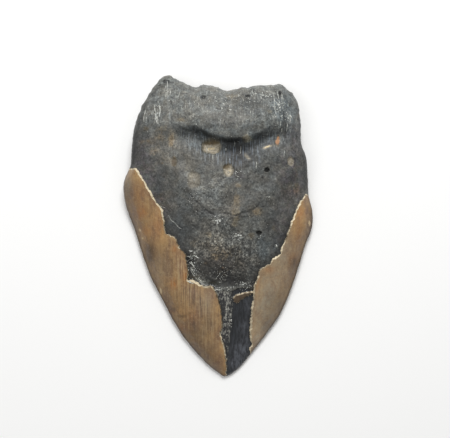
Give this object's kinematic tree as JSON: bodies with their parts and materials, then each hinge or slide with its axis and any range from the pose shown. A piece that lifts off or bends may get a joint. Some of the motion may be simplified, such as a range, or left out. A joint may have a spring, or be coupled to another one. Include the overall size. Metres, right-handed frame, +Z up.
{
  "type": "fossil megalodon tooth",
  "caption": "Broad triangular fossil shark tooth with a blunt root, worn cutting edges and enamel broken away from the middle of its domed face, lying on its flat face.",
  "frame": {"origin": "on the ground under the middle of the tooth's bounding box, which is on the flat labial face", "axes": "+Z up, out of the domed lingual face; +Y from the tip towards the root, along the length; +X across the width, to the right when the domed face is seen with the root at the top"},
  "size_m": [0.0891, 0.1409, 0.0252],
  "materials": {
    "fossil tooth": "Mineralised tooth: satin brown enamel bands along both sides, dull granular dark grey root and dentine, glossy black strip to the tip, cream broken enamel edges."
  },
  "bodies": {
    "root": {"tooth": "fossil tooth"}
  },
  "joints": []
}
